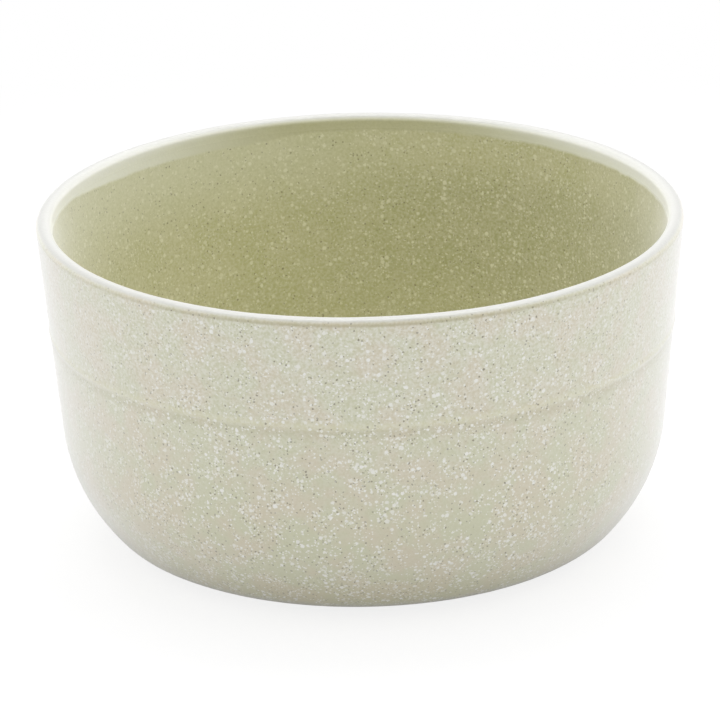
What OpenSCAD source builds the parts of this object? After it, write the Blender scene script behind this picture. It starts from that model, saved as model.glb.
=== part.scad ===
// Prep bowl of glazed stoneware, standing on its foot ring.
// Millimetres, +Z up, origin on the table under the middle of the bowl.

/* [Bowl] */
// Diameter over the lip
rim_d = 140; // [110:1:180]
// Height from the table to the top of the lip
bowl_h = 72.7; // [60:0.1:100]
// Thickness of the wall, glaze on both sides included
wall_t = 3.4; // [2.8:0.1:6]
// Lean of the wall from upright, in degrees
wall_draft = 5.2; // [1:0.1:10]
// Thickness of the floor, glaze on both sides included
floor_t = 5; // [3:0.1:8]

/* [Corner under the wall] */
// Radius of the belly, below the straight wall
belly_r = 36.8; // [28:0.1:46]
// Radius of the heel, between the belly and the underside
heel_r = 10.9; // [4:0.1:14]
// Slope at which the heel meets the belly, in degrees from level
heel_turn = 48.6; // [35:0.1:60]
// Radius inside the bowl, between the wall and the floor
inner_r = 20; // [14:0.5:26]

/* [Lip] */
// Radius of the lip's outer edge
lip_r = 1.1; // [0.8:0.05:1.4]
// Radius of the lip's inner edge
lip_inner_r = 0.6; // [0.5:0.05:0.9]
// Height of the smooth band inside the lip
band_h = 3; // [2:0.1:6]
// Lean of that band from upright, in degrees
band_lean = 2; // [0:0.1:10]

/* [Girdle line] */
// Drop from the top of the lip to the middle of the raised line
girdle_drop = 24.1; // [12:0.1:34]
// Width of the raised line
girdle_w = 2; // [1:0.1:4]
// Height by which the line stands out from the wall
girdle_rise = 0.25; // [0.1:0.05:0.6]

/* [Foot ring] */
// Distance of the ring inwards from the start of the heel
foot_inset = 3.5; // [2:0.1:8]
// Width of the ring
foot_w = 4; // [2.5:0.1:8]
// Height of the ring below the underside
foot_h = 1.2; // [0.8:0.1:3]
// Radius of the ring's two edges
foot_edge_r = 0.5; // [0.2:0.05:0.7]

/* [Glaze] */
// Thickness of the glaze
glaze_t = 0.3; // [0.15:0.05:0.45]

/* [Hidden] */
$fn = 180;
// Most that a chord may leave its arc
arc_error = 0.004;
// Number of steps across the girdle line
girdle_steps = 16;

clay_colour = "#c8b396";
outer_colour = "#cdcab7";
inner_colour = "#aba97d";
lip_colour = "#eeeee6";

// Outer edge of the lip: the arc's centre, and the place where it runs into the wall
lip_centre = [rim_d / 2 - lip_r, bowl_h - lip_r];
wall_top = lip_centre + lip_r * outwards(wall_draft);

// Heel and belly are tangent arcs, and the belly is tangent to the wall
heel_z = foot_h + heel_r;
belly_z = heel_z + (belly_r - heel_r) * cos(heel_turn);
belly_x = outer_x(belly_z - belly_r * sin(wall_draft)) - belly_r * cos(wall_draft);
heel_x = belly_x + (belly_r - heel_r) * sin(heel_turn);
belly_centre = [belly_x, belly_z];
heel_centre = [heel_x, heel_z];

// Inside corner, tangent to the wall and to the floor
corner_z = foot_h + floor_t + inner_r;
corner_x = inner_x(corner_z - inner_r * sin(wall_draft)) - inner_r * cos(wall_draft);
corner_centre = [corner_x, corner_z];

// Band inside the lip: its lower end, the mouth it would have with a sharp edge, and the edge's arc
band_end = [inner_x(bowl_h - band_h), bowl_h - band_h];
mouth_r = band_end.x + band_h * tan(band_lean);
mouth_x = mouth_r + lip_inner_r * (1 / cos(band_lean) - tan(band_lean));
mouth_centre = [mouth_x, bowl_h - lip_inner_r];

// Foot ring
foot_outer_r = heel_x - foot_inset;
foot_inner_r = foot_outer_r - foot_w;

// Direction square to a face with this lean, away from the bowl's axis
function outwards(lean) = [cos(lean), -sin(lean)];

// Radius of the wall's outer face at height z, without the girdle line
function outer_x(z) = wall_top.x - (wall_top.y - z) * tan(wall_draft);

// Radius of the wall's inner face at height z, without the band
function inner_x(z) = outer_x(z) - wall_t / cos(wall_draft);

// Points along an arc, from one angle to another
function arc(centre, radius, from, to) =
    let (chord_turn = 2 * acos(1 - arc_error / radius))
    let (steps = ceil(abs(to - from) / chord_turn))
    [for (i = [0 : steps]) let (a = from + (to - from) * i / steps) centre + radius * [cos(a), sin(a)]];

function reversed(points) = [for (i = [len(points) - 1 : -1 : 0]) points[i]];

function without_first(points) = [for (i = [1 : len(points) - 1]) points[i]];

// Lower end of the band at depth t inside the glaze, where its face meets the wall's face
function band_foot(t) =
    let (reach = t / cos((wall_draft - band_lean) / 2))
    band_end + reach * outwards((wall_draft + band_lean) / 2);

// Inside of the bowl at depth t, from the middle of the floor to the band
function inner_line(t) = concat(
    [[0, foot_h + floor_t - t]],
    arc(corner_centre, inner_r + t, -90, -wall_draft),
    [band_foot(t)]
);

// Lip at depth t, from the foot of the band over the top to the wall's outer face
function lip_line(t) = concat(
    [band_foot(t)],
    arc(mouth_centre, lip_inner_r - t, 180 - band_lean, 90),
    arc(lip_centre, lip_r - t, 90, -wall_draft)
);

// Girdle line at depth t, from its upper edge to its lower edge
function girdle_line(t) = [
    for (i = [0 : girdle_steps])
        let (s = i / girdle_steps)
        let (z = bowl_h - girdle_drop + girdle_w * (0.5 - s))
        let (rise = girdle_rise * (1 - cos(360 * s)) / 2)
        [outer_x(z) - t / cos(wall_draft) + rise, z]
];

// Outside of the bowl at depth t, from the lip to the side of the foot ring
function outer_line(t) = concat(
    [lip_centre + (lip_r - t) * outwards(wall_draft)],
    girdle_line(t),
    arc(belly_centre, belly_r - t, -wall_draft, heel_turn - 90),
    without_first(arc(heel_centre, heel_r - t, heel_turn - 90, -90)),
    [[foot_outer_r, foot_h + t]]
);

// Foot ring, from its outer side to the middle of the recess inside it
function foot_line() = concat(
    arc([foot_outer_r - foot_edge_r, foot_edge_r], foot_edge_r, 0, -90),
    arc([foot_inner_r + foot_edge_r, foot_edge_r], foot_edge_r, -90, -180),
    [[foot_inner_r, foot_h + glaze_t], [0, foot_h + glaze_t]]
);

// A layer of glaze between its face and the clay under it
module layer(face, clay) {
    rotate_extrude()
        polygon(concat(face, reversed(clay)));
}

// Fired clay: wall, floor, lip and the bare foot ring, in one piece
module stoneware_body() {
    color(clay_colour)
        rotate_extrude()
            polygon(concat(
                inner_line(glaze_t),
                without_first(lip_line(glaze_t)),
                without_first(outer_line(glaze_t)),
                foot_line()
            ));
}

// Liner glaze inside the bowl
module inner_glaze() {
    color(inner_colour)
        layer(inner_line(0), inner_line(glaze_t));
}

// Glaze on the outside, from the lip down to the foot ring
module outer_glaze() {
    color(outer_colour)
        layer(outer_line(0), outer_line(glaze_t));
}

// Pale glaze over the lip and its band, where the inner and the outer coat meet
module lip_glaze() {
    color(lip_colour)
        layer(lip_line(0), lip_line(glaze_t));
}

// Glaze on the underside, inside the foot ring
module foot_recess_glaze() {
    color(outer_colour)
        translate([0, 0, foot_h])
            cylinder(h = glaze_t, r = foot_inner_r);
}

stoneware_body();
inner_glaze();
outer_glaze();
lip_glaze();
foot_recess_glaze();
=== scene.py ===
"""Looks of the prep bowl: speckled glaze coats over a stoneware body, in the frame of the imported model."""
import math
from collections import namedtuple

import bmesh
import bpy
import numpy as np
from mathutils import Matrix, Vector


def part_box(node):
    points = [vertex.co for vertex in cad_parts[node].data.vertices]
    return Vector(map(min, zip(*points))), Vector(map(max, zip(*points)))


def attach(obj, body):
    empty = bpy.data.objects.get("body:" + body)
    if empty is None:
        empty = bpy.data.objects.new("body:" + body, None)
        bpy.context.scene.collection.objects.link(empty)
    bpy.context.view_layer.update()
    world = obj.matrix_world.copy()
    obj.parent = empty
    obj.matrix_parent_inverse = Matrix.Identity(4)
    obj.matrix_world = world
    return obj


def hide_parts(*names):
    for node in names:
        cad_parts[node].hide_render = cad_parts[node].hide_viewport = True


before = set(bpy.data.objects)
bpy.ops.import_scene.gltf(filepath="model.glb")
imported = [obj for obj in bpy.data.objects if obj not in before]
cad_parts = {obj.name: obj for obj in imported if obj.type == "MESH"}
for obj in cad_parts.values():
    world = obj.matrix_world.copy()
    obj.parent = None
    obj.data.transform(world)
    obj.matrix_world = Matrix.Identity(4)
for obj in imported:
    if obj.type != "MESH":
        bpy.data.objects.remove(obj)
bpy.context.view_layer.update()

MM = 0.001

# Sizes that the frame gives
lip_low, lip_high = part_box("lip_glaze")
recess_low, recess_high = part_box("foot_recess_glaze")
RIM_R = min(lip_high.x, lip_high.y, -lip_low.x, -lip_low.y)
BOWL_H = lip_high.z
FOOT_H = recess_low.z
GLAZE_T = recess_high.z - recess_low.z
FOOT_INNER_R = recess_high.x

# Wall and floor
WALL_T = 3.4 * MM
WALL_DRAFT = math.radians(5.2)
FLOOR_T = 5.0 * MM
BELLY_R = 36.8 * MM
HEEL_R = 10.9 * MM
HEEL_TURN = math.radians(48.6)
INNER_R = 20.0 * MM

# Lip, with the smooth band inside it
LIP_R = 1.5 * MM
LIP_INNER_R = 1.4 * MM
BAND_H = 3.0 * MM
BAND_LEAN = math.radians(3.0)

# Girdle line, which the glaze makes wider and lower
GIRDLE_Z = BOWL_H - 24.1 * MM
GIRDLE_W = 2.4 * MM
GIRDLE_RISE = 0.22 * MM

# Foot ring, and the uneven end of the glaze on either side of it
FOOT_OUTER_R = FOOT_INNER_R + 4.0 * MM
FOOT_EDGE_R = 0.5 * MM
GLAZE_END_WAVE = (7.0 * MM, 0.25 * MM)
GLAZE_END_REACH = 2.5 * MM

# Unevenness of the surfaces: wavelength and half depth
SLOW_WAVE = (26.0 * MM, 0.035 * MM)
QUICK_WAVE = (6.0 * MM, 0.010 * MM)
CLAY_GRAIN = (1.4 * MM, 0.03 * MM)

# Waves that make up an unevenness: how many, and the range of their lengths as shares of the wavelength
WAVES = 28
WAVE_RANGE = (0.7, 1.5)

# Mesh: squares across a disc, which has four times as many points on its edge, and spacings on a section
DISC_CELLS = 120
SEGMENTS = 4 * DISC_CELLS
COARSE = 1.0 * MM
MEDIUM = 0.35 * MM
FINE = 0.14 * MM
HIDDEN = 2.5 * MM
SHARP_ANGLE = math.radians(40)

# Map: strips round the bowl, share of its size that a hidden stretch gets, and margin round each island
STRIPS = 4
HIDDEN_SHARE = 0.1
MAP_MARGIN = 1.5 * MM

# Camera fitted to the bowl's outline, in pixels of the square photograph
PICTURE_PX = 720
FOCAL_PX = 5125
AIM_PX = (362.9, 367.8)
AIM_POINT = Vector((0, 0, 36.2 * MM))
CAMERA_DISTANCE = 1.12
CAMERA_ELEVATION = math.radians(20.50)
CAMERA_ROLL = math.radians(1.17)
SENSOR_MM = 36


class Seed:
    """Numbers that start the random patterns, so that no two patterns are alike."""
    RAGGED = 1
    CLUSTER = 2
    PATCH = 3
    FINE = 4
    SMALL_SPECKS = 5
    LARGE_SPECKS = 6
    DARK_SPECKS = 7
    IRON_SPOTS = 8
    BAND_RIPPLE = 9
    SLOW_WAVE = 11
    QUICK_WAVE = 12
    CLAY_GRAIN = 13
    OUTER_GLAZE_END = 14
    RECESS_GLAZE_END = 15
    CLAY_PATCH = 21
    CLAY_RAGGED = 22
    CLAY_DARK = 23
    CLAY_PALE = 24
    CLAY_SAND = 25


# Section of the bowl, in points of radius and height

def outwards(lean):
    """Direction square to a face with this lean, away from the axis."""
    return np.array([math.cos(lean), -math.sin(lean)])


lip_centre = np.array([RIM_R - LIP_R, BOWL_H - LIP_R])
wall_top = lip_centre + LIP_R * outwards(WALL_DRAFT)


def outer_x(z):
    """Radius of the wall's outer face at this height, without the girdle line."""
    return wall_top[0] - (wall_top[1] - z) * math.tan(WALL_DRAFT)


def inner_x(z):
    """Radius of the wall's inner face at this height, without the band."""
    return outer_x(z) - WALL_T / math.cos(WALL_DRAFT)


heel_z = FOOT_H + HEEL_R
belly_z = heel_z + (BELLY_R - HEEL_R) * math.cos(HEEL_TURN)
belly_x = outer_x(belly_z - BELLY_R * math.sin(WALL_DRAFT)) - BELLY_R * math.cos(WALL_DRAFT)
heel_x = belly_x + (BELLY_R - HEEL_R) * math.sin(HEEL_TURN)
belly_centre = np.array([belly_x, belly_z])
heel_centre = np.array([heel_x, heel_z])

floor_z = FOOT_H + FLOOR_T
corner_z = floor_z + INNER_R
corner_x = inner_x(corner_z - INNER_R * math.sin(WALL_DRAFT)) - INNER_R * math.cos(WALL_DRAFT)
corner_centre = np.array([corner_x, corner_z])

band_end = np.array([inner_x(BOWL_H - BAND_H), BOWL_H - BAND_H])
mouth_r = band_end[0] + BAND_H * math.tan(BAND_LEAN)
mouth_x = mouth_r + LIP_INNER_R * (1 / math.cos(BAND_LEAN) - math.tan(BAND_LEAN))
mouth_centre = np.array([mouth_x, BOWL_H - LIP_INNER_R])

clay_z = FOOT_H + GLAZE_T


def arc(centre, radius, start, end, spacing):
    """Points along an arc, with angles in radians."""
    steps = max(3, math.ceil(abs(end - start) * radius / spacing))
    angles = np.linspace(start, end, steps + 1)
    return centre + radius * np.c_[np.cos(angles), np.sin(angles)]


def straight(start, end, spacing):
    """Points along a straight stretch, both ends included."""
    steps = max(1, math.ceil(np.linalg.norm(np.subtract(end, start)) / spacing))
    return np.linspace(start, end, steps + 1)


def joined(*stretches):
    """One line from stretches that each start where the one before ends."""
    return np.vstack([stretches[0]] + [stretch[1:] for stretch in stretches[1:]])


def band_foot(depth):
    """Lower end of the band at this depth in the glaze, where its face meets the wall's."""
    reach = depth / math.cos((WALL_DRAFT - BAND_LEAN) / 2)
    return band_end + reach * outwards((WALL_DRAFT + BAND_LEAN) / 2)


def inner_line(depth, spacing):
    """Inside of the bowl at this depth, from the edge of the flat floor to the band."""
    corner = arc(corner_centre, INNER_R + depth, -math.pi / 2, -WALL_DRAFT, spacing)
    return joined(corner, straight(corner[-1], band_foot(depth), spacing))


def lip_line(depth, spacing):
    """Lip at this depth, from the foot of the band over the top to the wall's outer face."""
    edge = arc(mouth_centre, LIP_INNER_R - depth, math.pi - BAND_LEAN, math.pi / 2, spacing)
    rim = arc(lip_centre, LIP_R - depth, math.pi / 2, -WALL_DRAFT, spacing)
    band = straight(band_foot(depth), edge[0], spacing)
    return joined(band, edge, straight(edge[-1], rim[0], spacing), rim)


def girdle_line(depth, spacing):
    """Girdle line at this depth, from its upper edge to its lower edge, as a raised cosine."""
    share = np.linspace(0, 1, math.ceil(GIRDLE_W / spacing) + 1)
    z = GIRDLE_Z + GIRDLE_W * (0.5 - share)
    rise = GIRDLE_RISE * (1 - np.cos(2 * math.pi * share)) / 2
    return np.c_[outer_x(z) - depth / math.cos(WALL_DRAFT) + rise, z]


def outer_line(depth, wide, narrow):
    """Outside of the bowl at this depth, from the lip to the start of the flat underside."""
    start = lip_centre + (LIP_R - depth) * outwards(WALL_DRAFT)
    girdle = girdle_line(depth, narrow)
    belly = arc(belly_centre, BELLY_R - depth, -WALL_DRAFT, HEEL_TURN - math.pi / 2, wide)
    heel = arc(heel_centre, HEEL_R - depth, HEEL_TURN - math.pi / 2, -math.pi / 2, wide / 2)
    return joined(
        straight(start, girdle[0], wide),
        girdle,
        straight(girdle[-1], belly[0], wide),
        belly,
        heel,
    )


def glaze_end_line(spacing):
    """Underside of the outer glaze, from the heel to its rounded end beside the foot ring."""
    rounded = arc((FOOT_OUTER_R + GLAZE_T, clay_z), GLAZE_T, -math.pi / 2, -math.pi, spacing / 4)
    return joined(straight((heel_x, FOOT_H), rounded[0], spacing), rounded)


def recess_end_line(spacing):
    """Underside of the glaze inside the foot ring, from its flat middle to its rounded end."""
    rounded = arc((FOOT_INNER_R - GLAZE_T, clay_z), GLAZE_T, -math.pi / 2, 0, spacing / 4)
    return joined(straight((FOOT_INNER_R - GLAZE_END_REACH, FOOT_H), rounded[0], spacing), rounded)


def foot_line(spacing):
    """Clay from the heel round the foot ring's seat to the recess inside it."""
    outer_centre = (FOOT_OUTER_R - FOOT_EDGE_R, FOOT_EDGE_R)
    inner_centre = (FOOT_INNER_R + FOOT_EDGE_R, FOOT_EDGE_R)
    outer_arc = arc(outer_centre, FOOT_EDGE_R, 0, -math.pi / 2, spacing / 2)
    inner_arc = arc(inner_centre, FOOT_EDGE_R, -math.pi / 2, -math.pi, spacing / 2)
    return joined(
        straight((heel_x, clay_z), (FOOT_OUTER_R, clay_z), spacing),
        straight((FOOT_OUTER_R, clay_z), outer_arc[0], spacing),
        outer_arc,
        straight(outer_arc[-1], inner_arc[0], spacing),
        inner_arc,
        straight(inner_arc[-1], (FOOT_INNER_R, clay_z), spacing),
    )


def inward_of(line):
    """Directions into the clay along a line that runs from the inside of the bowl to its outside."""
    along = np.gradient(line, axis=0)
    along /= np.linalg.norm(along, axis=1)[:, None]
    return np.c_[along[:, 1], -along[:, 0]]


# Unevenness

def waves(points, wavelength, seed):
    """Smooth random waves at points in space, mostly from -1 to 1."""
    rng = np.random.default_rng(seed)
    directions = rng.normal(size=(WAVES, 3))
    directions /= np.linalg.norm(directions, axis=1)[:, None]
    lengths = wavelength * rng.uniform(*WAVE_RANGE, WAVES)
    phases = rng.uniform(0, 2 * math.pi, WAVES)
    angles = points @ (2 * math.pi * directions / lengths[:, None]).T + phases
    return np.sin(angles).sum(-1) / math.sqrt(2 * WAVES)


def dents(points, wave, seed):
    """Depths from zero to twice the wave's half depth, so that a surface only moves inwards."""
    wavelength, half_depth = wave
    return half_depth * (1 + np.clip(waves(points, wavelength, seed), -1, 1))


def glaze_dents(points):
    """Slow and quick waves in the glaze."""
    return dents(points, SLOW_WAVE, Seed.SLOW_WAVE) + dents(points, QUICK_WAVE, Seed.QUICK_WAVE)


def clay_dents(points):
    """Grain of the bare clay."""
    return dents(points, CLAY_GRAIN, Seed.CLAY_GRAIN)


# Meshes turned about the bowl's axis

# A flat end: its radius and height, the way into the clay along Z, and the share of its size on the map
Disc = namedtuple("Disc", "radius z into map_share")

turn_angles = 2 * math.pi * np.arange(SEGMENTS) / SEGMENTS
around = np.c_[np.cos(turn_angles), np.sin(turn_angles)]


def disc_points(radius, z):
    """Square grid of points pressed into a disc, and the numbers of its edge points in turn order."""
    steps = np.linspace(-1, 1, DISC_CELLS + 1)
    a, b = np.meshgrid(steps, steps, indexing="ij")
    wide = np.abs(a) >= np.abs(b)
    reach = np.where(wide, a, b)
    slant = math.pi / 4 * np.where(wide, b, a) / np.where(reach == 0, 1, reach)
    angle = np.where(wide, slant, math.pi / 2 - slant)
    points = np.stack([radius * reach * np.cos(angle), radius * reach * np.sin(angle), z + 0 * a], -1)
    number = np.arange(a.size).reshape(a.shape)
    edge = np.concatenate([number[-1, :-1], number[:0:-1, -1], number[0, :0:-1], number[:-1, 0]])
    return points.reshape(-1, 3), np.roll(edge, -(DISC_CELLS // 2))


class Turning:
    """A closed mesh about the axis: points, four-sided faces, and each face corner's place on the map."""

    def __init__(self):
        self.points = []
        self.faces = []
        self.places = []
        self.count = 0

    def add_points(self, points):
        """Adds points and returns their numbers."""
        self.points.append(points)
        self.count += len(points)
        return np.arange(self.count - len(points), self.count)

    def add_disc(self, disc, dented, corner):
        """Adds a flat end whose map starts at that corner, and returns the numbers of its edge points."""
        points, edge = disc_points(disc.radius, disc.z)
        flat = corner + disc.map_share * (points[:, :2] + disc.radius)
        depth = disc.into * dented(points)
        numbers = self.add_points(points + np.c_[0 * points[:, :2], depth])
        grid = numbers.reshape(DISC_CELLS + 1, -1)
        quads = np.stack([grid[:-1, :-1], grid[1:, :-1], grid[1:, 1:], grid[:-1, 1:]], -1).reshape(-1, 4)
        self.faces.append(quads)
        self.places.append(flat[quads - numbers[0]])
        return numbers[edge]

    def add_rings(self, rings, lengths, corners, width):
        """Adds the faces between rings of point numbers, mapped as strips that start at those corners."""
        ahead = np.roll(rings, -1, axis=1)
        quads = np.stack([rings[:-1], ahead[:-1], ahead[1:], rings[1:]], -1)
        in_strip = SEGMENTS // STRIPS
        column = np.arange(SEGMENTS)
        left = (column % in_strip) * width / in_strip
        right = left + width / in_strip
        across = np.stack([left, right, right, left], -1)
        low, high = lengths[:-1], lengths[1:]
        along = np.stack([low, low, high, high], -1)
        flat = np.empty(quads.shape + (2,))
        flat[..., 0] = across[None]
        flat[..., 1] = along[:, None]
        flat += np.array(corners)[column // in_strip][None, :, None]
        self.faces.append(quads.reshape(-1, 4))
        self.places.append(flat.reshape(-1, 4, 2))

    def piece(self, name, material, sheet):
        """The mesh as an object, with a map on a sheet of that size, turned outwards and shaded smooth."""
        mesh = bpy.data.meshes.new(name)
        mesh.from_pydata(np.vstack(self.points).tolist(), [], np.vstack(self.faces).tolist())
        places = mesh.uv_layers.new(name="OFBake")
        places.data.foreach_set("uv", (np.vstack(self.places) / sheet).ravel())
        shape = bmesh.new()
        shape.from_mesh(mesh)
        bmesh.ops.recalc_face_normals(shape, faces=shape.faces)
        shape.to_mesh(mesh)
        shape.free()
        mesh.shade_smooth()
        mesh.set_sharp_from_angle(angle=SHARP_ANGLE)
        mesh.materials.append(material)
        piece = bpy.data.objects.new(name, mesh)
        bpy.context.scene.collection.objects.link(piece)
        return piece


def map_lengths(section, shown):
    """Length on the map up to each point of a section, where a hidden stretch takes less room."""
    steps = np.linalg.norm(np.diff(section, axis=0), axis=1)
    seen = shown[:-1] & shown[1:]
    return np.concatenate([[0], np.cumsum(np.where(seen, steps, HIDDEN_SHARE * steps))])


def turned_points(section, inward, dented, shift):
    """Points round the axis: each point of a section moves inwards by its dent, and outwards by its shift."""
    flat = np.stack([np.outer(section[:, 0], around[:, i]) for i in (0, 1)], -1)
    even = np.dstack([flat, np.repeat(section[:, 1:], SEGMENTS, 1)])
    depth = dented(even)
    radius = section[:, :1] + inward[:, :1] * depth
    if shift is not None:
        radius = radius + shift(section)
    height = section[:, 1:] + inward[:, 1:] * depth
    return np.dstack([radius * around[:, 0], radius * around[:, 1], height])


def turned(name, material, section, inward, shown, dented, shift=None, discs=(), columns=2):
    """Piece from a section. Two discs close an open section at its start and end, and a section without
    discs is a closed loop. The map's strips stand in that many columns, with the discs above them."""
    if not discs:
        section = np.vstack([section, section[:1]])
        inward = np.vstack([inward, inward[:1]])
        shown = np.append(shown, shown[:1])
    lengths = map_lengths(section, shown)
    width = 2 * math.pi / STRIPS * section[:, 0].max()
    column_step = width + MAP_MARGIN
    row_step = lengths[-1] + MAP_MARGIN
    corners = []
    for strip in range(STRIPS):
        row, column = divmod(strip, columns)
        corners.append((MAP_MARGIN + column * column_step, MAP_MARGIN + row * row_step))
    top = MAP_MARGIN + STRIPS // columns * row_step
    sheet = max(MAP_MARGIN + columns * column_step, top)

    points = turned_points(section, inward, dented, shift)
    mesh = Turning()
    rings = np.zeros(points.shape[:2], int)
    body = slice(1, -1) if discs else slice(0, -1)
    rings[body] = mesh.add_points(points[body].reshape(-1, 3)).reshape(-1, SEGMENTS)
    rings[-1] = rings[0]
    disc_start = MAP_MARGIN
    for disc, end in zip(discs, (0, -1)):
        rings[end] = mesh.add_disc(disc, dented, np.array([disc_start, top]))
        size = 2 * disc.radius * disc.map_share + MAP_MARGIN
        disc_start += size
        sheet = max(sheet, top + size)
    mesh.add_rings(rings, lengths, corners, width)
    return mesh.piece(name, material, sheet)


# Materials

# Distance between one seed's patterns and the next's, in metres, and the middle value of noise
PATTERN_STEP = (0.37, 0.71, 0.53)
NOISE_MIDDLE = 0.5

# Specks of one kind: the least radius and the least strength as shares of the most, and where the edge starts
SPECK_LEAST_RADIUS = 0.45
SPECK_LEAST_STRENGTH = 0.6
SPECK_EDGE = 0.6


class Surface:
    """A procedural material under construction: each call adds a node and returns what it gives out."""

    def __init__(self, name):
        self.material = bpy.data.materials.new(name)
        self.material.use_nodes = True
        self.tree = self.material.node_tree
        self.tree.nodes.clear()
        self.place = self.add("TexCoord").outputs["Object"]
        split = self.add("SeparateXYZ", {0: self.place})
        self.across = split.outputs["X"]
        self.away = split.outputs["Y"]
        self.height = split.outputs["Z"]
        flat = self.add("CombineXYZ", {0: self.across, 1: self.away})
        self.radius = self.add("VectorMath", {0: flat.outputs[0]}, operation="LENGTH").outputs["Value"]

    def add(self, kind, inputs=None, **settings):
        """Adds a node with these settings, and links or sets its inputs."""
        node = self.tree.nodes.new("ShaderNode" + kind)
        for name, value in settings.items():
            setattr(node, name, value)
        for key, value in (inputs or {}).items():
            if isinstance(value, bpy.types.NodeSocket):
                self.tree.links.new(value, node.inputs[key])
            else:
                node.inputs[key].default_value = value
        return node

    def math(self, operation, *values):
        return self.add("Math", dict(enumerate(values)), operation=operation).outputs[0]

    def share_of(self, mask, share):
        return self.math("MULTIPLY", mask, share)

    def ease(self, value, low, high):
        """Goes smoothly from 0 at low to 1 at high, which may be the lesser."""
        inputs = {"Value": value, "From Min": low, "From Max": high}
        return self.add("MapRange", inputs, interpolation_type="SMOOTHSTEP").outputs["Result"]

    def spread(self, value, low, high):
        """Stretches a value from 0 to 1 over another range."""
        return self.math("MULTIPLY_ADD", value, high - low, low)

    def mix(self, share, first, second):
        """Mixes two colours, for which the node has the inputs 6 and 7 and the output 2."""
        return self.add("Mix", {0: share, 6: first, 7: second}, data_type="RGBA").outputs[2]

    def moved(self, seed, place=None):
        """The place far off in a direction of its own, so that patterns don't repeat each other."""
        offset = tuple(seed * step for step in PATTERN_STEP)
        return self.add("VectorMath", {0: place or self.place, 1: offset}, operation="ADD").outputs[0]

    def noise(self, size, seed, detail=2.0):
        inputs = {"Vector": self.moved(seed), "Scale": 1 / size, "Detail": detail}
        return self.add("TexNoise", inputs)

    def clouds(self, size, low, seed, detail=3.0):
        """Soft patches of about that size: 0 where the noise is under low, and 1 where it is over 1 - low."""
        return self.ease(self.noise(size, seed, detail).outputs["Fac"], low, 1 - low)

    def ragged(self, size, reach, seed):
        """The place, shaken by fine noise, which makes the edges of specks uneven."""
        rough = self.noise(size, seed).outputs["Color"]
        shake = self.add("VectorMath", {0: rough, 1: (NOISE_MIDDLE,) * 3}, operation="SUBTRACT")
        scaled = self.add("VectorMath", {0: shake.outputs[0], "Scale": reach}, operation="SCALE")
        return self.add("VectorMath", {0: self.place, 1: scaled.outputs[0]}, operation="ADD").outputs[0]

    def specks(self, place, kind, share):
        """Mask of specks of a kind, some smaller or fainter than others, in that share of the cells."""
        spot = self.add("TexVoronoi", {"Vector": self.moved(kind.seed, place), "Scale": 1 / kind.cell})
        chance = self.add("SeparateColor", {0: spot.outputs["Color"]})
        largest = kind.radius / kind.cell
        size = self.spread(chance.outputs["Green"], SPECK_LEAST_RADIUS * largest, largest)
        reach = self.math("DIVIDE", spot.outputs["Distance"], size)
        present = self.math("LESS_THAN", chance.outputs["Red"], share)
        strength = self.spread(chance.outputs["Blue"], SPECK_LEAST_STRENGTH, 1.0)
        return self.share_of(self.ease(reach, 1.0, SPECK_EDGE), self.share_of(present, strength))

    def finish(self, colour, roughness, relief, relief_depth, **constants):
        """Links colour, roughness and relief to the shader, and sets its constant values."""
        bump = self.add("Bump", {"Height": relief, "Distance": relief_depth})
        inputs = {"Base Color": colour, "Roughness": roughness, "Normal": bump.outputs[0]}
        shader = self.add("BsdfPrincipled", {**inputs, **constants})
        self.add("OutputMaterial", {"Surface": shader.outputs[0]})
        return self.material


def rgb(red, green, blue):
    return (red, green, blue, 1.0)


def grey(level):
    return rgb(level, level, level)


WHITE = grey(1.0)

GLAZE_GREEN = rgb(0.620, 0.622, 0.440)
GLAZE_PINK = rgb(0.660, 0.605, 0.455)
# Pale girdle ridge: partly thinner glaze over the ridge, partly painted highlight
GLAZE_RIDGE_HIGHLIGHT = rgb(0.720, 0.700, 0.490)
# Painted shade near the foot
GLAZE_FOOT_SHADE = rgb(0.460, 0.410, 0.120)
# Darker lines: thinner glaze with painted crease shade under the lip's round, and painted shade under the
# girdle line
GLAZE_THIN_AND_SHADE = rgb(0.410, 0.365, 0.205)
# Pooled glaze on the liner's floor, and painted shade on its right wall
LINER_POOL_AND_SHADE = rgb(0.300, 0.295, 0.140)
LINER_OLIVE = rgb(0.508, 0.498, 0.260)
LINER_PALE = rgb(0.547, 0.528, 0.302)
# Painted light on the liner's left wall near the rim
LINER_PAINTED_LIGHT = rgb(0.675, 0.670, 0.480)
SPECK_WHITE = rgb(0.900, 0.895, 0.850)
SPECK_BEIGE = rgb(0.800, 0.785, 0.620)
SPECK_DARK = rgb(0.180, 0.150, 0.090)
SPECK_IRON = rgb(0.480, 0.290, 0.150)
LIP_PALE = rgb(0.660, 0.660, 0.620)
# Painted shade on the lip's top, where its rounding turns away from the light
LIP_PAINTED_SHADE = rgb(0.490, 0.492, 0.460)
BAND_OLIVE = rgb(0.528, 0.517, 0.318)
# Painted light and highlight on the band at the two sides
BAND_SIDE_PAINTED_LIGHT = rgb(0.920, 0.930, 0.860)
BAND_PAINTED_HIGHLIGHT = rgb(0.930, 0.935, 0.910)
CLAY_BUFF = rgb(0.560, 0.450, 0.310)
CLAY_PALE = rgb(0.640, 0.545, 0.405)
CLAY_DARK = rgb(0.300, 0.215, 0.130)

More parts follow.
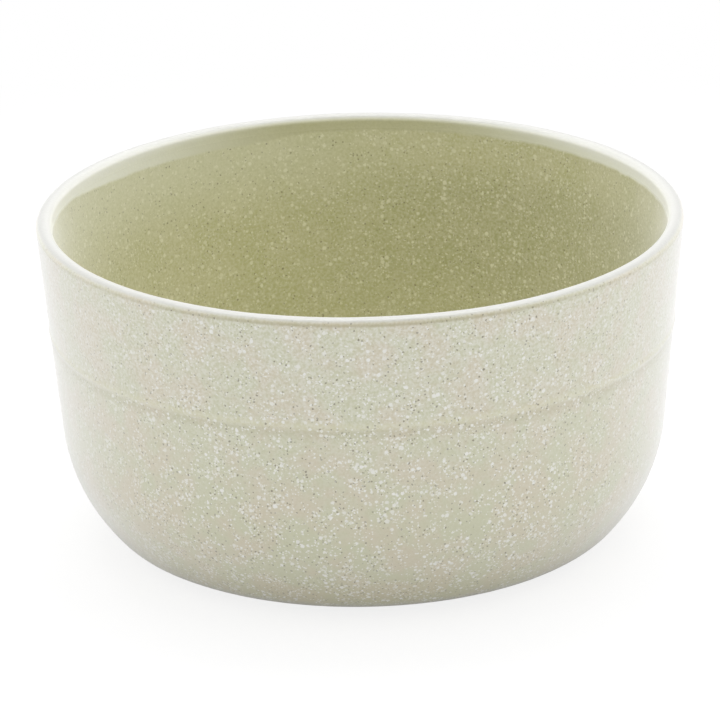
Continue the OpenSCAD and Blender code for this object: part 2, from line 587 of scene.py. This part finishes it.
# A kind of speck: the cell that holds one at most, its greatest radius, the share of cells that hold one
# where they are few and where they cluster, how far its colour covers what is under it, and its seed
Speck = namedtuple("Speck", "cell radius few many cover seed")
WALL_SMALL = Speck(0.60 * MM, 0.32 * MM, 0.20, 0.80, 1.00, Seed.SMALL_SPECKS)
WALL_LARGE = Speck(1.10 * MM, 0.60 * MM, 0.05, 0.75, 1.00, Seed.LARGE_SPECKS)
WALL_DARK = Speck(0.75 * MM, 0.30 * MM, 0.20, 0.70, 0.80, Seed.DARK_SPECKS)
WALL_IRON = Speck(11.0 * MM, 1.10 * MM, 0.10, 0.10, 0.30, Seed.IRON_SPOTS)
LINER_SMALL = Speck(0.62 * MM, 0.31 * MM, 0.15, 0.60, 0.68, Seed.SMALL_SPECKS)
LINER_LARGE = Speck(1.20 * MM, 0.62 * MM, 0.08, 0.65, 0.68, Seed.LARGE_SPECKS)
LINER_DARK = Speck(0.80 * MM, 0.28 * MM, 0.20, 0.65, 0.65, Seed.DARK_SPECKS)
DARK_SAND = Speck(0.90 * MM, 0.16 * MM, 0.45, 0.45, 0.60, Seed.CLAY_DARK)
PALE_SAND = Speck(0.70 * MM, 0.16 * MM, 0.50, 0.50, 0.35, Seed.CLAY_PALE)

# Noise that makes the specks' edges ragged: its size, and how far it reaches
GLAZE_RAGGED = (0.35 * MM, 0.50 * MM)
CLAY_RAGGED = (0.40 * MM, 0.20 * MM)

# Soft patches in the materials: their size, and the noise at which they start
CLUSTERS = (4.0 * MM, 0.34)
PATCHES = (8.0 * MM, 0.36)
FINE_PATCHES = (0.6 * MM, 0.32)
CLAY_PATCHES = (6.0 * MM, 0.35)

# Turn to the two sides, from 0 in front and behind to 1, over which the band takes painted light, the specks
# get fainter, and the lower wall takes painted light
SIDEWAYS = (0.15, 1.0)
CLEAR_SIDES = (0.45, 1.0)
PAINTED_LIGHT_SIDES = (0.70, 1.0)

# Places across the bowl and away from the camera, over which the liner's painted light at the left, its
# painted shade at the right, and the weaker band highlight and added lip shade at the back go from none to
# all
LIT_LEFT = (0.5 * RIM_R, -0.7 * RIM_R)
SHADED_RIGHT = (-0.5 * RIM_R, 0.5 * RIM_R)
AT_BACK = (0.55 * RIM_R, 0.95 * RIM_R)

# Heights over which the glaze changes from none to all
LOW_DOWN = (BOWL_H, 0.25 * BOWL_H)
# painted shade comes in towards the foot
FOOT_SHADE_HEIGHTS = (16 * MM, 1.5 * MM)
# painted light on the liner's left wall comes in near the rim
NEAR_RIM = (0.64 * BOWL_H, 0.92 * BOWL_H)
# painted shade on the liner's right wall lies at mid height
MID_WALL_FROM_BELOW = (0.30 * BOWL_H, 0.55 * BOWL_H)
MID_WALL_FROM_ABOVE = (0.92 * BOWL_H, 0.75 * BOWL_H)
POOLED = (0.30 * BOWL_H, 0.10 * BOWL_H)

# Places on the girdle line, over which its pale ridge with painted highlight and the painted shade under it
# go from none to all
GIRDLE_RIDGE = (0.6 * GIRDLE_W, 0.1 * GIRDLE_W)
UNDER_GIRDLE_FROM_ABOVE = (0.1 * GIRDLE_W, -0.5 * GIRDLE_W)
UNDER_GIRDLE_FROM_BELOW = (-1.6 * GIRDLE_W, -0.6 * GIRDLE_W)

# Darker line on the lip's outer edge, partly thinner glaze and partly painted crease shade, and its strength
# in front and behind and at the two sides; and the strength of the painted shade in a line under the girdle
# line
EDGE_LINE_Z = BOWL_H - 1.15 * MM
EDGE_LINE_HALF_W = 0.65 * MM
EDGE_LINE_STRENGTH = (0.58, 0.20)
UNDER_GIRDLE_SHADE = 0.22

# Shares of other colours in the outer glaze, some of them high up and low down on the wall: the girdle
# ridge's painted highlight, fine white, painted light low at the sides, and painted shade towards the foot
RIDGE_HIGHLIGHT_SHARE = 0.50
FINE_WHITE = (0.52, 0.10)
LOW_SIDE_PAINTED_LIGHT = 0.24
FOOT_SHADE_SHARE = 0.42

# Specks of the outer glaze: how many there are high up and low down, what share of them the girdle line
# keeps, and how strong they are at the two sides
SPECKS_DOWN_WALL = (0.70, 1.30)
SPECKS_ON_GIRDLE = 0.5
SPECKS_AT_SIDES = 0.55

# Shares of other colours in the liner
LIT_LEFT_SHARE = 0.80
RIGHT_SHADE_SHARE = 0.42
POOLED_SHARE = 0.55
LINER_FINE_BEIGE = 0.32

# Band's smooth glaze: its soft and rippled lower edge, a place where it has run down, and its fine patches
BAND_GLAZE_Z = BOWL_H - 3.4 * MM
BAND_EDGE = (BAND_GLAZE_Z - 0.5 * MM, BAND_GLAZE_Z + 0.4 * MM)
BAND_RIPPLE = (5.0 * MM, 1.0 * MM)
RUN_PLACE = (-43 * MM, 51 * MM, 69 * MM)
RUN_SPREAD = (40 * MM, 16 * MM)
RUN_DROP = 1.4 * MM
BAND_FINE_BEIGE = 0.12

# Painted highlight on the top of the band: height where it starts, in front and behind and then at the two
# sides, height where it is full, and its strength at the back
HIGHLIGHT_START_Z = (BOWL_H - 1.5 * MM, BOWL_H - 3.4 * MM)
HIGHLIGHT_FULL_Z = BOWL_H - 0.4 * MM
HIGHLIGHT_AT_BACK = 0.4

# Pale top of the lip: heights over which it starts, and radii over which painted shade darkens it towards its
# outer edge and, at the back, towards its inner edge
LIP_TOP = (BOWL_H - 0.9 * MM, BOWL_H - 0.15 * MM)
LIP_OUTER_PAINTED_SHADE = (RIM_R - 0.4 * MM, RIM_R - 2.8 * MM)
LIP_INNER_PAINTED_SHADE = (RIM_R - 1.9 * MM, RIM_R - 2.7 * MM)

# Gloss and relief: roughness of the glaze, what fine patches and specks add to it, and the height of specks
GLAZE_DULLNESS = 0.13
LIP_DULLNESS = 0.32
FINE_DULLNESS = 0.06
SPECK_DULLNESS = 0.06
SPECK_RELIEF = 0.5
RELIEF_DEPTH = 0.015 * MM
GLAZE_IOR = 1.5

# Share of the liner's specks that is still felt through the band
SPECKS_ON_BAND = 0.1

# Milky bloom at flat angles
BLOOM_ROUGHNESS = 0.5
LINER_BLOOM = 0.8

# Bare clay: size and depth of its sand, and its roughness
SAND_SIZE = 0.35 * MM
SAND_DEPTH = 0.06 * MM
CLAY_ROUGHNESS = (0.75, 0.95)
CLAY_IOR = 1.45


class Glaze(Surface):
    """Speckled glaze. Its pattern belongs to places on the bowl, so that it runs on from coat to coat."""

    def __init__(self, name):
        super().__init__(name)
        self.uneven = self.ragged(*GLAZE_RAGGED, Seed.RAGGED)
        self.cluster = self.clouds(*CLUSTERS, Seed.CLUSTER)
        self.patch = self.clouds(*PATCHES, Seed.PATCH)
        self.fine = self.clouds(*FINE_PATCHES, Seed.FINE)
        self.turn = self.math("DIVIDE", self.math("ABSOLUTE", self.across), self.radius)
        self.sideways = self.ease(self.turn, *SIDEWAYS)
        self.at_back = self.ease(self.away, *AT_BACK)
        self.low_down = self.ease(self.height, *LOW_DOWN)
        self.over_girdle = self.math("SUBTRACT", self.height, GIRDLE_Z)
        self.on_girdle = self.ease(self.math("ABSOLUTE", self.over_girdle), *GIRDLE_RIDGE)

    def plenty(self, kind):
        """Share of cells with a speck of this kind, from place to place."""
        return self.spread(self.cluster, kind.few, kind.many)

    def thinness_and_shade(self):
        """Darker lines in the outer glaze: thinner glaze with painted crease shade on the lip's outer edge,
        and painted shade under the girdle line.
        """
        above = self.ease(self.height, BOWL_H, EDGE_LINE_Z)
        on_edge = self.share_of(above, self.ease(self.height, EDGE_LINE_Z - EDGE_LINE_HALF_W, EDGE_LINE_Z))
        edge_line = self.share_of(on_edge, self.spread(self.sideways, *EDGE_LINE_STRENGTH))
        below = self.ease(self.over_girdle, *UNDER_GIRDLE_FROM_ABOVE)
        under_girdle_shade = self.share_of(below, self.ease(self.over_girdle, *UNDER_GIRDLE_FROM_BELOW))
        return self.math("MAXIMUM", edge_line, self.share_of(under_girdle_shade, UNDER_GIRDLE_SHADE))

    def plain_outside(self):
        """Colour of the outer glaze without its specks, with the girdle ridge's painted highlight, painted
        light low at the sides, and painted shade in dark lines and towards the foot.
        """
        colour = self.mix(self.patch, GLAZE_GREEN, GLAZE_PINK)
        # Pale girdle ridge: partly thinner glaze, partly painted highlight
        colour = self.mix(self.share_of(self.on_girdle, RIDGE_HIGHLIGHT_SHARE), colour, GLAZE_RIDGE_HIGHLIGHT)
        fine_white = self.share_of(self.fine, self.spread(self.low_down, *FINE_WHITE))
        colour = self.mix(fine_white, colour, SPECK_WHITE)
        # Painted light: the lower wall whitened at the two sides
        lit_low_side = self.share_of(self.low_down, self.ease(self.turn, *PAINTED_LIGHT_SIDES))
        colour = self.mix(self.share_of(lit_low_side, LOW_SIDE_PAINTED_LIGHT), colour, SPECK_WHITE)
        # Painted shade: darker lines under the lip's round and under the girdle line
        colour = self.mix(self.thinness_and_shade(), colour, GLAZE_THIN_AND_SHADE)
        # Painted shade: darker and browner towards the foot
        foot_shade = self.ease(self.height, *FOOT_SHADE_HEIGHTS)
        return self.mix(self.share_of(foot_shade, FOOT_SHADE_SHARE), colour, GLAZE_FOOT_SHADE)

    def outside(self):
        """Colour of the outer glaze, and the mask of its white specks."""
        more = self.spread(self.low_down, *SPECKS_DOWN_WALL)
        under_lip = self.ease(self.height, EDGE_LINE_Z, EDGE_LINE_Z - 2 * EDGE_LINE_HALF_W)
        thick = self.share_of(under_lip, self.spread(self.on_girdle, 1.0, SPECKS_ON_GIRDLE))
        thick = self.share_of(thick, more)
        small = self.specks(self.uneven, WALL_SMALL, self.share_of(thick, self.plenty(WALL_SMALL)))
        large = self.specks(self.uneven, WALL_LARGE, self.share_of(thick, self.plenty(WALL_LARGE)))
        dark = self.specks(self.uneven, WALL_DARK, self.share_of(more, self.plenty(WALL_DARK)))
        iron = self.specks(self.uneven, WALL_IRON, WALL_IRON.many)
        clear = self.spread(self.ease(self.turn, *CLEAR_SIDES), 1.0, SPECKS_AT_SIDES)
        white = self.share_of(self.math("MAXIMUM", small, large), clear)
        colour = self.mix(self.share_of(iron, WALL_IRON.cover), self.plain_outside(), SPECK_IRON)
        colour = self.mix(self.share_of(dark, self.share_of(clear, WALL_DARK.cover)), colour, SPECK_DARK)
        return self.mix(white, colour, SPECK_WHITE), white

    def band(self):
        """Colour of the smooth band inside the lip, with painted light and highlight at the two sides, and
        the mask of its area.
        """
        wavelength, ripple_height = BAND_RIPPLE
        rough = self.noise(wavelength, Seed.BAND_RIPPLE, 3.0).outputs["Fac"]
        ripple = self.math("SUBTRACT", rough, NOISE_MIDDLE)
        far = self.add("VectorMath", {0: self.place, 1: RUN_PLACE}, operation="DISTANCE").outputs["Value"]
        run = self.share_of(self.ease(far, *RUN_SPREAD), RUN_DROP)
        level = self.math("ADD", self.math("MULTIPLY_ADD", ripple, ripple_height, self.height), run)
        # Painted highlight on the band's top, fuller at the two sides and weaker at the back
        under_top = self.ease(self.height, self.spread(self.sideways, *HIGHLIGHT_START_Z), HIGHLIGHT_FULL_Z)
        painted_light = self.share_of(under_top, self.spread(self.at_back, 1.0, HIGHLIGHT_AT_BACK))
        # Painted light on the band at the two sides
        colour = self.mix(self.sideways, BAND_OLIVE, BAND_SIDE_PAINTED_LIGHT)
        colour = self.mix(painted_light, colour, BAND_PAINTED_HIGHLIGHT)
        colour = self.mix(self.share_of(self.fine, BAND_FINE_BEIGE), colour, SPECK_BEIGE)
        return colour, self.ease(level, *BAND_EDGE)

    def plain_inside(self):
        """Colour of the liner without its specks: painted shade at the right, darker pooled glaze on the
        floor, and painted light at the left.
        """
        mid_wall = self.share_of(
            self.ease(self.height, *MID_WALL_FROM_BELOW),
            self.ease(self.height, *MID_WALL_FROM_ABOVE),
        )
        # Painted shade on the right of the liner wall at mid height
        shaded_wall = self.share_of(mid_wall, self.ease(self.across, *SHADED_RIGHT))
        pooled = self.ease(self.height, *POOLED)
        pool_and_shade = self.math("MAXIMUM", self.share_of(shaded_wall, RIGHT_SHADE_SHARE), self.share_of(pooled, POOLED_SHARE))
        # Painted light on the left of the liner wall near the rim
        painted_light = self.share_of(self.ease(self.across, *LIT_LEFT), LIT_LEFT_SHARE)
        colour = self.mix(self.patch, LINER_OLIVE, LINER_PALE)
        colour = self.mix(pool_and_shade, colour, LINER_POOL_AND_SHADE)
        colour = self.mix(self.share_of(self.ease(self.height, *NEAR_RIM), painted_light), colour, LINER_PAINTED_LIGHT)
        return self.mix(self.share_of(self.fine, LINER_FINE_BEIGE), colour, SPECK_BEIGE)

    def inside(self):
        """Colour of the liner glaze and of the band over it, and the mask of the pale specks."""
        small = self.specks(self.uneven, LINER_SMALL, self.plenty(LINER_SMALL))
        large = self.specks(self.uneven, LINER_LARGE, self.plenty(LINER_LARGE))
        dark = self.specks(self.uneven, LINER_DARK, self.plenty(LINER_DARK))
        pale = self.math("MAXIMUM", small, large)
        colour = self.mix(self.share_of(dark, LINER_DARK.cover), self.plain_inside(), SPECK_DARK)
        colour = self.mix(self.share_of(pale, LINER_LARGE.cover), colour, SPECK_BEIGE)
        band, on_band = self.band()
        raised = self.share_of(pale, self.spread(on_band, 1.0, SPECKS_ON_BAND))
        return self.mix(on_band, colour, band), raised

    def glossy(self, colour, specks, dullness=GLAZE_DULLNESS, bloom=1.0):
        """Smooth gloss with a milky bloom at flat angles, over a faintly pitted surface."""
        even = self.spread(self.fine, dullness, dullness + FINE_DULLNESS)
        roughness = self.math("MULTIPLY_ADD", specks, SPECK_DULLNESS, even)
        relief = self.math("MULTIPLY_ADD", specks, SPECK_RELIEF, self.fine)
        sheen = {"Sheen Weight": bloom, "Sheen Roughness": BLOOM_ROUGHNESS, "Sheen Tint": WHITE}
        return self.finish(colour, roughness, relief, RELIEF_DEPTH, **{"IOR": GLAZE_IOR, **sheen})


def outer_glaze_material():
    glaze = Glaze("outer_glaze_speckled")
    return glaze.glossy(*glaze.outside())


def inner_glaze_material():
    glaze = Glaze("inner_glaze_speckled")
    return glaze.glossy(*glaze.inside(), bloom=LINER_BLOOM)


def lip_glaze_material():
    """Pale on top of the lip, running into the outer glaze on one side and the band on the other, with
    painted shade towards its outer edge and, at the back, on its inner edge.
    """
    glaze = Glaze("lip_glaze_pale")
    outside, outer_specks = glaze.outside()
    inside, inner_specks = glaze.inside()
    on_outside = glaze.ease(glaze.radius, mouth_centre[0], lip_centre[0])
    # Painted shade: the lip's top darkens towards its outer edge, and at the back towards its inner edge
    top = glaze.mix(glaze.ease(glaze.radius, *LIP_OUTER_PAINTED_SHADE), LIP_PAINTED_SHADE, LIP_PALE)
    inner_edge_shade = glaze.ease(glaze.radius, *LIP_INNER_PAINTED_SHADE)
    top = glaze.mix(glaze.share_of(inner_edge_shade, glaze.at_back), top, LIP_PAINTED_SHADE)
    sides = glaze.mix(on_outside, inside, outside)
    colour = glaze.mix(glaze.ease(glaze.height, *LIP_TOP), sides, top)
    specks = glaze.add("Mix", {0: on_outside, 2: inner_specks, 3: outer_specks}).outputs[0]
    return glaze.glossy(colour, specks, dullness=LIP_DULLNESS)


def clay_material():
    """Bare fired stoneware, matt and sandy, with dark and pale grains."""
    clay = Surface("bare_stoneware")
    patch = clay.clouds(*CLAY_PATCHES, Seed.CLAY_PATCH, detail=4.0)
    uneven = clay.ragged(*CLAY_RAGGED, Seed.CLAY_RAGGED)
    dark = clay.specks(uneven, DARK_SAND, DARK_SAND.many)
    pale = clay.specks(uneven, PALE_SAND, PALE_SAND.many)
    colour = clay.mix(patch, CLAY_BUFF, CLAY_PALE)
    colour = clay.mix(clay.share_of(dark, DARK_SAND.cover), colour, CLAY_DARK)
    colour = clay.mix(clay.share_of(pale, PALE_SAND.cover), colour, CLAY_PALE)
    sand = clay.noise(SAND_SIZE, Seed.CLAY_SAND, 4.0).outputs["Fac"]
    return clay.finish(colour, clay.spread(sand, *CLAY_ROUGHNESS), sand, SAND_DEPTH, IOR=CLAY_IOR)


# Pieces of the bowl

face_lines = (
    inner_line(0, COARSE),
    lip_line(0, FINE),
    joined(outer_line(0, COARSE, FINE), glaze_end_line(MEDIUM)),
)
face = joined(*face_lines)
face_inward = inward_of(face)
lip_start = len(face_lines[0]) - 1
lip_end = lip_start + len(face_lines[1]) - 1


def coat(name, material, part, back, **options):
    """Glaze coat between a part of the bowl's face and the clay behind it, whose line runs back again."""
    section = np.vstack([face[part], back[::-1]])
    inward = np.vstack([face_inward[part], 0 * back])
    shown = np.arange(len(section)) < len(face[part])
    return turned(name, material, section, inward, shown, glaze_dents, **options)


def near_ring(section, ring_radius):
    """How near points under the bowl are to a side of the foot ring, from 0 to 1."""
    distance = np.abs(section[:, :1] - ring_radius) / GLAZE_END_REACH
    under = section[:, 1:] < clay_z + GLAZE_T
    return np.clip(1 - distance, 0, 1) ** 2 * under


def shift_from_ring(ring_radius, way, seed):
    """Shift of a section's points that leaves an uneven bare gap beside the foot ring. The way is 1 outside
    the ring and -1 inside it."""
    circle = np.c_[ring_radius * around, FOOT_H + 0 * turn_angles]
    gap = dents(circle, GLAZE_END_WAVE, seed)

    def shift(section):
        return way * near_ring(section, ring_radius) * gap

    return shift


def make_inner_glaze():
    discs = (Disc(corner_x, floor_z, -1, 1.0), Disc(corner_x, floor_z - GLAZE_T, 0, HIDDEN_SHARE))
    part = slice(0, lip_start + 1)
    return coat("inner_glaze_coat", inner_glaze_material(), part, inner_line(GLAZE_T, HIDDEN), discs=discs)


def make_lip_glaze():
    part = slice(lip_start, lip_end + 1)
    return coat("lip_glaze_coat", lip_glaze_material(), part, lip_line(GLAZE_T, MEDIUM), columns=1)


def make_outer_glaze(material):
    underside = straight((heel_x, clay_z), (FOOT_OUTER_R, clay_z), MEDIUM)
    back = joined(outer_line(GLAZE_T, HIDDEN, MEDIUM), underside)
    part = slice(lip_end, None)
    shift = shift_from_ring(FOOT_OUTER_R, 1, Seed.OUTER_GLAZE_END)
    return coat("outer_glaze_coat", material, part, back[:-1], shift=shift)


def make_recess_glaze(material):
    end = recess_end_line(MEDIUM)
    back = straight(end[-1], (end[0][0], clay_z), MEDIUM)
    section = joined(end, back)
    inward = np.vstack([np.tile((0, 1), (len(end), 1)), 0 * back[1:]])
    shown = np.arange(len(section)) < len(end)
    discs = (Disc(end[0][0], FOOT_H, 1, 1.0), Disc(end[0][0], clay_z, 0, HIDDEN_SHARE))
    shift = shift_from_ring(FOOT_INNER_R, -1, Seed.RECESS_GLAZE_END)
    return turned("foot_recess_coat", material, section, inward, shown, glaze_dents, shift=shift, discs=discs)


def make_clay():
    covered = joined(
        inner_line(GLAZE_T, HIDDEN),
        lip_line(GLAZE_T, MEDIUM),
        outer_line(GLAZE_T, HIDDEN, MEDIUM),
    )
    foot = foot_line(MEDIUM)
    section = joined(covered, foot)
    inward = np.vstack([0 * covered, inward_of(foot)[1:]])
    shown = np.arange(len(section)) >= len(covered) - 1
    discs = (
        Disc(corner_x, floor_z - GLAZE_T, 0, HIDDEN_SHARE),
        Disc(FOOT_INNER_R, clay_z, 0, 1.0),
    )
    return turned("stoneware_clay", clay_material(), section, inward, shown, clay_dents, discs=discs)


outer_glaze = outer_glaze_material()
pieces = (
    (make_clay(), "stoneware_body", "clay"),
    (make_inner_glaze(), "inner_glaze", "inner_glaze"),
    (make_outer_glaze(outer_glaze), "outer_glaze", "outer_glaze"),
    (make_lip_glaze(), "lip_glaze", "lip_glaze"),
    (make_recess_glaze(outer_glaze), "foot_recess_glaze", "outer_glaze"),
)
for piece, node, slot in pieces:
    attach(piece, "root")
    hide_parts(node)


# Stage: floor, light and camera

# Floor: half its width, and the distances between which it turns from shadowed to plain white, in metres
FLOOR_HALF = 4.0
FLOOR_CLEAR = (0.16, 0.34)

# Floor near the bowl: what it throws back, what shadow and glow the camera sees, and its white in gloss
FLOOR_ALBEDO = 0.75
FLOOR_SHADOW = 0.17
FLOOR_GLOW = 0.84
FLOOR_GLOSS = 0.40

CAMERA_RAYS = ("Is Camera Ray",)
GLOSS_RAYS = ("Is Glossy Ray", "Is Transmission Ray")
WORLD_FILL = 0.55
LAMP_DISTANCE = 1.3

# Soft lamps: azimuth and elevation in degrees, width and height in metres, power in watts
LAMPS = {
    "back_light": (180, 70, 1.2, 0.8, 13.2),
    "front_light": (5, 35, 1.0, 0.8, 0.9),
    "right_light": (85, 50, 1.1, 0.8, 3.9),
    "left_light": (-85, 45, 1.1, 0.8, 2.9),
}


def seen_by(tree, rays):
    """1 for rays of these kinds, and 0 for others."""
    path = tree.nodes.new("ShaderNodeLightPath")
    seen = path.outputs[rays[0]]
    for ray in rays[1:]:
        either = tree.nodes.new("ShaderNodeMath")
        either.operation = "MAXIMUM"
        tree.links.new(seen, either.inputs[0])
        tree.links.new(path.outputs[ray], either.inputs[1])
        seen = either.outputs[0]
    return seen


def floor_material():
    """White floor. The camera sees the bowl's soft shadow near it and plain white farther out. In gloss the
    floor is as it is lit under the bowl, partly white beside it and all white farther out."""
    surface = Surface("floor_white")
    bounce = surface.add("BsdfDiffuse", {"Color": grey(FLOOR_ALBEDO)})
    shadow = surface.add("BsdfDiffuse", {"Color": grey(FLOOR_SHADOW)})
    glow = surface.add("Emission", {"Color": WHITE, "Strength": FLOOR_GLOW})
    white = surface.add("Emission", {"Color": WHITE, "Strength": 1.0})
    near = surface.add("AddShader", {0: shadow.outputs[0], 1: glow.outputs[0]})
    far_share = surface.ease(surface.radius, *FLOOR_CLEAR)
    shown = surface.add("MixShader", {0: far_share, 1: near.outputs[0], 2: white.outputs[0]})
    clear_of_bowl = surface.ease(surface.radius, FOOT_OUTER_R, RIM_R)
    gloss_white = surface.share_of(surface.spread(far_share, FLOOR_GLOSS, 1.0), clear_of_bowl)
    in_gloss = surface.share_of(seen_by(surface.tree, GLOSS_RAYS), gloss_white)
    lit = surface.add("MixShader", {0: in_gloss, 1: bounce.outputs[0], 2: white.outputs[0]})
    in_view = seen_by(surface.tree, CAMERA_RAYS)
    either = surface.add("MixShader", {0: in_view, 1: lit.outputs[0], 2: shown.outputs[0]})
    surface.add("OutputMaterial", {"Surface": either.outputs[0]})
    return surface.material


def make_floor():
    mesh = bpy.data.meshes.new("floor")
    shape = bmesh.new()
    bmesh.ops.create_grid(shape, x_segments=1, y_segments=1, size=FLOOR_HALF)
    shape.to_mesh(mesh)
    shape.free()
    mesh.materials.append(floor_material())
    floor = bpy.data.objects.new("floor", mesh)
    bpy.context.scene.collection.objects.link(floor)


def make_world():
    """White surroundings, which light the bowl a little less than they show."""
    world = bpy.data.worlds.new("studio")
    world.use_nodes = True
    tree = world.node_tree
    background = tree.nodes["Background"]
    strength = tree.nodes.new("ShaderNodeMapRange")
    strength.inputs["To Min"].default_value = WORLD_FILL
    strength.inputs["To Max"].default_value = 1.0
    tree.links.new(seen_by(tree, CAMERA_RAYS + GLOSS_RAYS), strength.inputs["Value"])
    background.inputs["Color"].default_value = WHITE
    tree.links.new(strength.outputs["Result"], background.inputs["Strength"])
    bpy.context.scene.world = world


def make_lamp(name, azimuth, elevation, width, height, power):
    """Flat lamp that points at the bowl. Azimuth 0 is in front of it and 90 on its right."""
    turn, rise = math.radians(azimuth), math.radians(elevation)
    towards = Vector((math.sin(turn) * math.cos(rise), -math.cos(turn) * math.cos(rise), math.sin(rise)))
    light = bpy.data.lights.new(name, "AREA")
    light.shape = "RECTANGLE"
    light.size = width
    light.size_y = height
    light.energy = power
    lamp = bpy.data.objects.new(name, light)
    lamp.location = AIM_POINT + LAMP_DISTANCE * towards
    lamp.rotation_euler = towards.to_track_quat("Z", "Y").to_euler()
    bpy.context.scene.collection.objects.link(lamp)


def make_camera():
    """Camera at the photograph's place, moved sideways so that the aim point falls on its own pixel."""
    sine, cosine = math.sin(CAMERA_ELEVATION), math.cos(CAMERA_ELEVATION)
    right, up, back = Vector((1, 0, 0)), Vector((0, sine, cosine)), Vector((0, -cosine, sine))
    side = math.cos(CAMERA_ROLL) * right - math.sin(CAMERA_ROLL) * up
    top = math.sin(CAMERA_ROLL) * right + math.cos(CAMERA_ROLL) * up
    metres_per_px = CAMERA_DISTANCE / FOCAL_PX
    aside = (AIM_PX[0] - PICTURE_PX / 2) * metres_per_px * side
    upward = (PICTURE_PX / 2 - AIM_PX[1]) * metres_per_px * top
    place = AIM_POINT + CAMERA_DISTANCE * back - aside - upward
    data = bpy.data.cameras.new("camera")
    data.sensor_width = SENSOR_MM
    data.lens = SENSOR_MM * FOCAL_PX / PICTURE_PX
    camera = bpy.data.objects.new("camera", data)
    camera.matrix_world = Matrix.Translation(place) @ Matrix((side, top, back)).transposed().to_4x4()
    bpy.context.scene.collection.objects.link(camera)
    bpy.context.scene.camera = camera


make_floor()
make_world()
for name, settings in LAMPS.items():
    make_lamp(name, *settings)
make_camera()
bpy.context.scene.view_settings.view_transform = "Standard"
